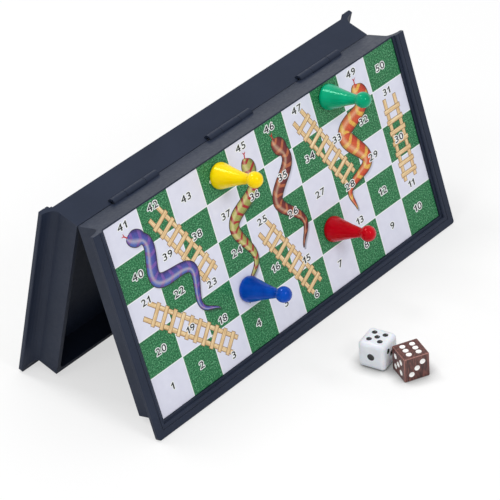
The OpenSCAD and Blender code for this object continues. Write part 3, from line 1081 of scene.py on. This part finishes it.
def printed_faces():
    """The two prints with their inks, each riding on its half."""
    squares = printed_squares("printed_squares", in_shadow=False)
    shaded_squares = printed_squares("shaded_squares", in_shadow=True)
    wood = ladder_wood()
    bar_edge = ink("ladder_edge_ink", rgb(120, 84, 54), rgb(140, 100, 66))
    snake_edge = ink("snake_edge_ink", rgb(30, 20, 22), rgb(48, 34, 34))
    tongue_ink = ink("tongue_ink", rgb(170, 20, 30), rgb(200, 34, 40))
    halo_ink = ink("halo_ink", rgb(236, 240, 240), rgb(246, 248, 248))
    digit_ink = ink("digit_ink", rgb(14, 14, 16), rgb(26, 26, 30))
    figures = figure_shapes()
    plans = {"front": (FRONT_LADDERS, FRONT_SNAKES), "back": (BACK_LADDERS, BACK_SNAKES)}
    for half in HALVES:
        climbs, snakes = plans[half.name]
        sheet = make_piece(f"{half.name}_print", print_slab(half), half.body, squares)
        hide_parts(f"{half.name}_play_sheet")
        bars, bar_edges = ladder_inks(half, climbs)
        skins, edges, tongues, shadows = zip(*(snake_inks(half, snake) for snake in snakes))
        digits, halos = number_inks(half, number_heights(climbs, snakes), figures)
        inks = [("ladder_edges", bar_edges, bar_edge), ("ladders", bars, wood)]
        inks += [(f"{snake.colour}_snake", skin, SKINS[snake.colour]) for snake, skin in zip(snakes, skins)]
        inks += [
            ("snake_edges", join(edges), snake_edge),
            ("snake_tongues", join(tongues), tongue_ink),
            ("snake_shadows", join(shadows), shaded_squares),
            ("number_halos", halos, halo_ink),
            ("numbers", digits, digit_ink),
        ]
        for name, surface, material in inks:
            make_piece(f"{half.name}_{name}", surface, half.body, material)


# Pawns
def soften(corners, rounds, steps=5):
    """A line of corners with each inner one rounded.

    A round is the quadratic curve from a little before the corner to as much after it, drawn to the corner.
    """
    corners = np.asarray(corners, float)
    t = np.linspace(0, 1, steps)[:, None]
    pieces = [corners[:1]]
    for before, corner, after, cut in zip(corners, corners[1:], corners[2:], rounds):
        into = corner + unit(before - corner) * cut
        out = corner + unit(after - corner) * cut
        pieces.append(into * (1 - t) ** 2 + corner * 2 * t * (1 - t) + out * t ** 2)
    return np.concatenate(pieces + [corners[-1:]])


def pawn_profile():
    """Radius and height from the top of the magnet socket, under the foot, up the flank and over the ball.

    The flank's radius falls from the foot's to the neck's by a power of the height that is left.
    """
    head_z = PAWN_H - PAWN_HEAD_R
    neck_angle = math.asin(PAWN_NECK_R / PAWN_HEAD_R)
    neck_z = head_z - PAWN_HEAD_R * math.cos(neck_angle)
    foot = soften(
        [
            (0, SOCKET_H),
            (SOCKET_R, SOCKET_H),
            (SOCKET_R, 0),
            (PAWN_FOOT_R, 0),
            (PAWN_FOOT_R, PAWN_FOOT_H),
            (PAWN_FOOT_R - PAWN_SHOULDER_IN, PAWN_FOOT_H + PAWN_SHOULDER_UP),
        ],
        FOOT_ROUNDS,
    )[:-1]
    flank_r = PAWN_NECK_R + (PAWN_FOOT_R - PAWN_NECK_R) * (1 - FLANK_SHARES) ** PAWN_FLARE
    flank = np.stack([flank_r, PAWN_FOOT_H + (neck_z - PAWN_FOOT_H) * FLANK_SHARES], -1)
    turn = np.linspace(neck_angle * BALL_START, math.pi, BALL_STEPS)
    ball = np.stack([PAWN_HEAD_R * np.sin(turn), head_z - PAWN_HEAD_R * np.cos(turn)], -1)
    return np.concatenate([foot, flank, ball])


def pawn_surface(node, around=72):
    """The profile turned about the pawn's own axis, with a faint parting ridge on two sides.

    The axis goes through the middle of the CAD pawn along the way out of the front print. The ridge
    rises to the profile, and the rest lies that much inside it. The two ends of the profile lie on the
    axis and are single points.
    """
    corner = node_points(node) - RIDGE
    right = (corner[:, 0].min() + corner[:, 0].max()) / 2
    ups = corner @ FRONT.up
    foot = np.array([right, (ups.min() + ups.max()) / 2, PRINT_FACE])
    profile = pawn_profile()
    angle = np.linspace(0, 2 * np.pi, around, endpoint=False)
    inside_ridge = SEAM_RISE * (1 - np.exp(-(np.sin(angle) / SEAM_HALF) ** 2))
    ring = profile[1:-1]
    is_flank = (ring[:, :1] > SEAM_LEAST_R) & (ring[:, 1:] > SOCKET_H)
    radius = ring[:, :1] - inside_ridge * is_flank
    body = turned_rings(radius, ring[:, 1:], angle)
    ends = np.array([[0, 0, profile[0, 1]], [0, 0, profile[-1, 1]]])
    rows = len(ring)
    first, last = rows * around, rows * around + 1
    j = np.arange(around)
    k = (j + 1) % around
    top_ring = (rows - 1) * around
    low_fan = np.stack([np.full(around, first), k, j], -1).tolist()
    high_fan = np.stack([np.full(around, last), top_ring + j, top_ring + k], -1).tolist()
    points = on_half(FRONT, np.concatenate([body, ends]) + foot)
    return Surface(points, grid_faces(rows, around) + low_fan + high_fan, {})


PAWN_TONES = {
    "yellow": (rgb(254, 212, 0), rgb(255, 224, 0)),
    "green": (rgb(0, 148, 105), rgb(0, 168, 123)),
    "red": (rgb(182, 0, 18), rgb(200, 0, 26)),
    "blue": (rgb(0, 62, 164), rgb(0, 80, 190)),
}


def pawns():
    """A turned pawn of each colour in place of its CAD pawn."""
    for colour, tones in PAWN_TONES.items():
        name = f"{colour}_pawn"
        slot = f"{colour}_plastic"
        plastic = gloss_plastic(slot, *tones)
        piece = make_piece(f"{name}_turned", pawn_surface(name), name, plastic, PAWN_SMOOTH)
        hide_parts(name)


# Dice
PIP_MIDDLE = [(0, 0)]
PIP_CORNERS = [(x * PIP_STEP, y * PIP_STEP) for x in (-1, 1) for y in (-1, 1)]
PIP_DIAGONAL = [PIP_CORNERS[0], PIP_CORNERS[3]]
PIP_ROWS = [(x * SIX_ROW_OUT, y * SIX_PITCH) for x in (-1, 1) for y in (-1, 0, 1)]
PIP_SPOTS = {
    1: PIP_MIDDLE,
    2: PIP_DIAGONAL,
    3: PIP_DIAGONAL + PIP_MIDDLE,
    4: PIP_CORNERS,
    5: PIP_CORNERS + PIP_MIDDLE,
    6: PIP_ROWS,
}
FACE_TURNS = [
    Matrix.Rotation(QUARTER, 3, "Y"),
    Matrix.Rotation(-QUARTER, 3, "Y"),
    Matrix.Rotation(-QUARTER, 3, "X"),
    Matrix.Rotation(QUARTER, 3, "X"),
    Matrix.Identity(3),
    Matrix.Rotation(math.pi, 3, "X"),
]


def paint_dish(pip_r, around=28, rings=7):
    """A pool of paint in a round hollow: the hollow's own dish raised a little, and a dish below it.

    A point at distance d from the middle lies at the ball's surface, ball radius less the root of its
    square less d squared, above the deepest point.
    """
    ball = (pip_r ** 2 + PIP_DEPTH ** 2) / (2 * PIP_DEPTH)
    d = np.linspace(PAINT_MIDDLE, 1, rings) * (pip_r - PAINT_INSET)
    dish = ball - np.sqrt(ball ** 2 - d ** 2) - PIP_DEPTH
    profile = np.concatenate([
        np.stack([d, np.minimum(dish + PAINT_RISE, 0)], -1),
        np.stack([d[::-1], dish[::-1] - PAINT_DEPTH], -1),
    ])
    angle = np.linspace(0, 2 * np.pi, around, endpoint=False)
    points = turned_rings(profile[:, :1], profile[:, 1:], angle)
    rows = len(profile)
    ends = [list(range(around)), list(range((rows - 1) * around, rows * around))]
    return points, grid_faces(rows, around) + ends


def die_pips(die):
    """A dish of paint in each hollow of a die.

    A dish is set in its face's pattern and turned by the pattern's, the face's and then the die's own turn.
    """
    middle = box_middle(die.node)
    own = Matrix.Rotation(die.turn, 3, "Z")
    made = []
    for count, spin, face_turn in zip(die.faces, die.spins, FACE_TURNS):
        turn = np.array(own @ face_turn @ Matrix.Rotation(spin, 3, "Z"))
        dish, dish_faces = paint_dish(die.ace_r if count == 1 else die.pip_r)
        for spot in PIP_SPOTS[count]:
            place = np.array([*spot, die.size / 2])
            made.append(Surface((dish + place) @ turn.T + middle, dish_faces, {}))
    return join(made)


def dice():
    """The painted pips of both dice."""
    black = pip_paint("pip_black", rgb(12, 14, 18), rgb(24, 26, 32))
    white = pip_paint("pip_white", rgb(246, 245, 243), rgb(253, 252, 250))
    make_piece("white_die_pips", die_pips(WHITE_DIE), "white_die", black, PIP_SMOOTH)
    make_piece("brown_die_pips", die_pips(BROWN_DIE), "brown_die", white, PIP_SMOOTH)


def finish_frame():
    """The finish of every CAD node that stays in view."""
    plastic = case_plastic()
    plate = bare_metal("plate_steel", rgb(150, 152, 156), rgb(190, 192, 196), stretch=0.05, roughest=0.4)
    wire = bare_metal("pin_steel", rgb(150, 150, 154), rgb(205, 205, 208), stretch=0.05, roughest=0.35)
    sinter = bare_metal("magnet", rgb(46, 46, 50), rgb(70, 70, 74), stretch=1.0, roughest=0.6)
    finishes = {
        "front_shell": plastic,
        "back_shell": plastic,
        "front_steel_plate": plate,
        "back_steel_plate": plate,
        "hinge_pin_left": wire,
        "hinge_pin_middle": wire,
        "hinge_pin_right": wire,
        "white_die": die_white(),
        "brown_die": die_wood(),
    }
    for colour in PAWN_TONES:
        finishes[f"{colour}_pawn_magnet"] = sinter
    for name, material in finishes.items():
        mesh = frame["nodes"][name].data
        mesh.materials.clear()
        mesh.materials.append(material)


# Studio
def seen_share(tree):
    """1 where the camera, a mirror or glass looks and 0 for bounced light, then the same without mirrors."""
    rays = put(tree, "ShaderNodeLightPath").outputs
    straight = maths(tree, "MAXIMUM", rays["Is Camera Ray"], rays["Is Transmission Ray"])
    return maths(tree, "MAXIMUM", straight, rays["Is Glossy Ray"]), straight


def floor():
    """A wide pale table: white where it is seen, also in mirrors, and a duller matt in bounced light.

    Part of it glows where it is seen, which leaves a faint shadow round the set and plain white far away.
    Round the dice it darkens by the share of the sky that they hide close by.
    """
    corners = [(x * TABLE_HALF, y * TABLE_HALF, 0) for x, y in ((-1, -1), (1, -1), (1, 1), (-1, 1))]
    mesh = bpy.data.meshes.new("floor")
    mesh.from_pydata(corners, [], [(0, 1, 2, 3)])
    material = bpy.data.materials.new("floor")
    material.use_nodes = True
    tree = material.node_tree
    tree.nodes.clear()
    place = object_place(tree)
    seen, straight = seen_share(tree)
    dice_middle = np.mean([box_middle(die.node) for die in (WHITE_DIE, BROWN_DIE)], axis=0) * (1, 1, 0)
    to_dice = put(tree, "ShaderNodeVectorMath", {0: place, 1: dice_middle}, operation="DISTANCE")
    sky = put(tree, "ShaderNodeAmbientOcclusion", {"Distance": SHADE_REACH}, samples=8).outputs["AO"]
    open_sky = reach(tree, to_dice.outputs["Value"], SHADE_FADES, (sky, 1.0))
    paint = mix(tree, seen, grey(TABLE_BOUNCED), grey(TABLE_SEEN))
    shaded_paint = mix(tree, open_sky, grey(0.0), paint)
    matt = put(tree, "ShaderNodeBsdfDiffuse", {"Color": shaded_paint}).outputs[0]
    glow = put(tree, "ShaderNodeEmission", {"Color": grey(1.0), "Strength": open_sky}).outputs[0]
    from_set = put(tree, "ShaderNodeVectorMath", {0: place}, operation="LENGTH").outputs["Value"]
    near_share = reach(tree, straight, (0.0, 1.0), (MIRROR_GLOW, EYE_GLOW))
    share = maths(tree, "MULTIPLY", seen, reach(tree, from_set, GLOW_GROWS, (near_share, 1.0)))
    mixed = put(tree, "ShaderNodeMixShader", {0: share, 1: matt, 2: glow}).outputs[0]
    put(tree, "ShaderNodeOutputMaterial", {0: mixed})
    mesh.materials.append(material)
    table = new_object("floor", mesh)


def surroundings(light):
    """A white room: white where it is seen, and a soft level light elsewhere."""
    world = bpy.data.worlds.new("room")
    bpy.context.scene.world = world
    world.use_nodes = True
    tree = world.node_tree
    tree.nodes.clear()
    seen, _ = seen_share(tree)
    strength = reach(tree, seen, (0.0, 1.0), (light, 1.0))
    room = put(tree, "ShaderNodeBackground", {"Color": grey(1.0), "Strength": strength}).outputs[0]
    put(tree, "ShaderNodeOutputWorld", {0: room})


def place_at(thing, at, right, back):
    """Sets a lamp or camera at a place, by the ways to its right and to its back."""
    turn = np.column_stack([right, np.cross(back, right), back])
    thing.matrix_world = Matrix.Translation(at) @ Matrix(turn.tolist()).to_4x4()


def soft_box(lamp):
    """A square lamp at its place, turned to the set."""
    light = bpy.data.lights.new(lamp.name, "AREA")
    light.shape = "SQUARE"
    light.size = lamp.size
    light.energy = lamp.watts
    back = unit(np.array(lamp.at) - np.array(LAMPS_AIM))
    right = unit(np.cross((0, 0, 1), back))
    place_at(new_object(lamp.name, light), lamp.at, right, back)


def camera():
    """The photograph's camera from its heading, dip and roll."""
    h, d, r = CAMERA_HEADING, CAMERA_DIP, CAMERA_ROLL
    ahead = np.array([math.sin(h) * math.cos(d), math.cos(h) * math.cos(d), -math.sin(d)])
    level = np.array([math.cos(h), -math.sin(h), 0.0])
    upright = np.cross(level, ahead)
    right = math.cos(r) * level + math.sin(r) * upright
    lens = bpy.data.cameras.new("camera")
    lens.lens = CAMERA_LENS
    lens.sensor_width = CAMERA_SENSOR
    lens.clip_start = CAMERA_NEAR
    lens.clip_end = CAMERA_FAR
    view = new_object("camera", lens)
    place_at(view, CAMERA_AT, right, -ahead)
    bpy.context.scene.camera = view


def studio():
    """The table, the room, the lamps and the camera, with colours shown as they are."""
    bpy.context.scene.view_settings.view_transform = "Standard"
    floor()
    surroundings(ROOM_LIGHT)
    for lamp in LAMPS:
        soft_box(lamp)
    camera()


printed_faces()
pawns()
dice()
finish_frame()
studio()
